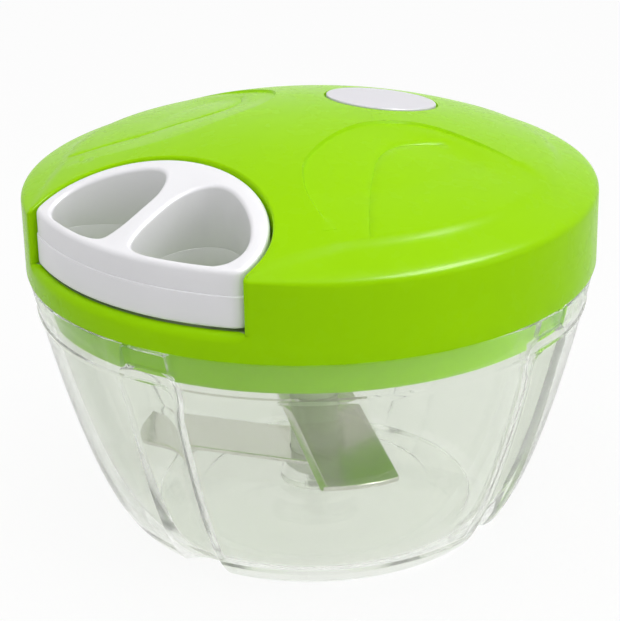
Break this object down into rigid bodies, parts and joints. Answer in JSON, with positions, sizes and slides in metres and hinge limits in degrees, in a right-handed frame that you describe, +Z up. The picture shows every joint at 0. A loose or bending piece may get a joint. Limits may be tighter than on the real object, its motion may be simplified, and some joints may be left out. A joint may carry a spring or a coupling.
{
  "type": "pull-cord vegetable dicer",
  "caption": "Hand-held pull-cord vegetable dicer: a clear tapered bowl with steel blades on a centre spindle under a domed lid with a sprung cord reel and a two-finger handle.",
  "frame": {"origin": "centre of the bowl's base, on the surface that it stands on", "axes": "+Z up along the spindle, handle and finger holes towards -Y"},
  "size_m": [0.125, 0.125, 0.0925],
  "materials": {
    "green_plastic": "glossy lime green moulding",
    "white_plastic": "satin white moulding",
    "clear_plastic": "clear polished moulding",
    "grey_plastic": "moulded, hidden inside the lid",
    "blade_steel": "fine brushed strip",
    "steel": "plain bright steel",
    "silicone": "translucent silicone",
    "cord": "braided cord"
  },
  "bodies": {
    "bowl": {"bowl": "clear_plastic", "spindle_pin": "steel"},
    "blades": {"blade_shaft": "white_plastic", "lower_blade": "blade_steel", "middle_blade": "blade_steel", "upper_blade": "blade_steel"},
    "lid": {"lid_cover": "green_plastic", "lid_base": "green_plastic", "name_badge": "white_plastic", "seal_ring": "silicone", "lid_screw_1": "steel", "lid_screw_2": "steel", "lid_screw_3": "steel", "lid_screw_4": "steel", "reel_axle": "steel", "rewind_spring": "steel", "cord_guide": "grey_plastic", "cord_lead": "cord"},
    "reel": {"cord_reel": "grey_plastic", "cord_winding": "cord", "spring_cover": "grey_plastic"},
    "handle": {"handle_top": "white_plastic", "handle_bottom": "white_plastic", "handle_screw_left": "steel", "handle_screw_right": "steel", "handle_screw_front": "steel", "cord_end": "cord"}
  },
  "joints": [
    {"name": "lid_lift", "type": "slide", "parent": "bowl", "child": "lid", "axis": [0, 0, 1], "range_m": [0, 0.09]},
    {"name": "handle_pull", "type": "slide", "parent": "lid", "child": "handle", "axis": [0, -1, 0], "range_m": [0, 0.3], "stiffness_N_per_m": 12, "springref_m": -0.15},
    {"name": "reel_spin", "type": "hinge", "parent": "lid", "child": "reel", "pos_m": [0, 0, 0.0738], "axis": [0, 0, 1], "range_deg": [-950, 0]},
    {"name": "blade_spin", "type": "hinge", "parent": "bowl", "child": "blades", "pos_m": [0, 0, 0.02], "axis": [0, 0, 1], "range_deg": [-950, 0]}
  ],
  "couplings": [
    {"joint": "reel_spin", "follows": "handle_pull", "rad_per_m": -55.1},
    {"joint": "blade_spin", "follows": "handle_pull", "rad_per_m": -55.1}
  ]
}
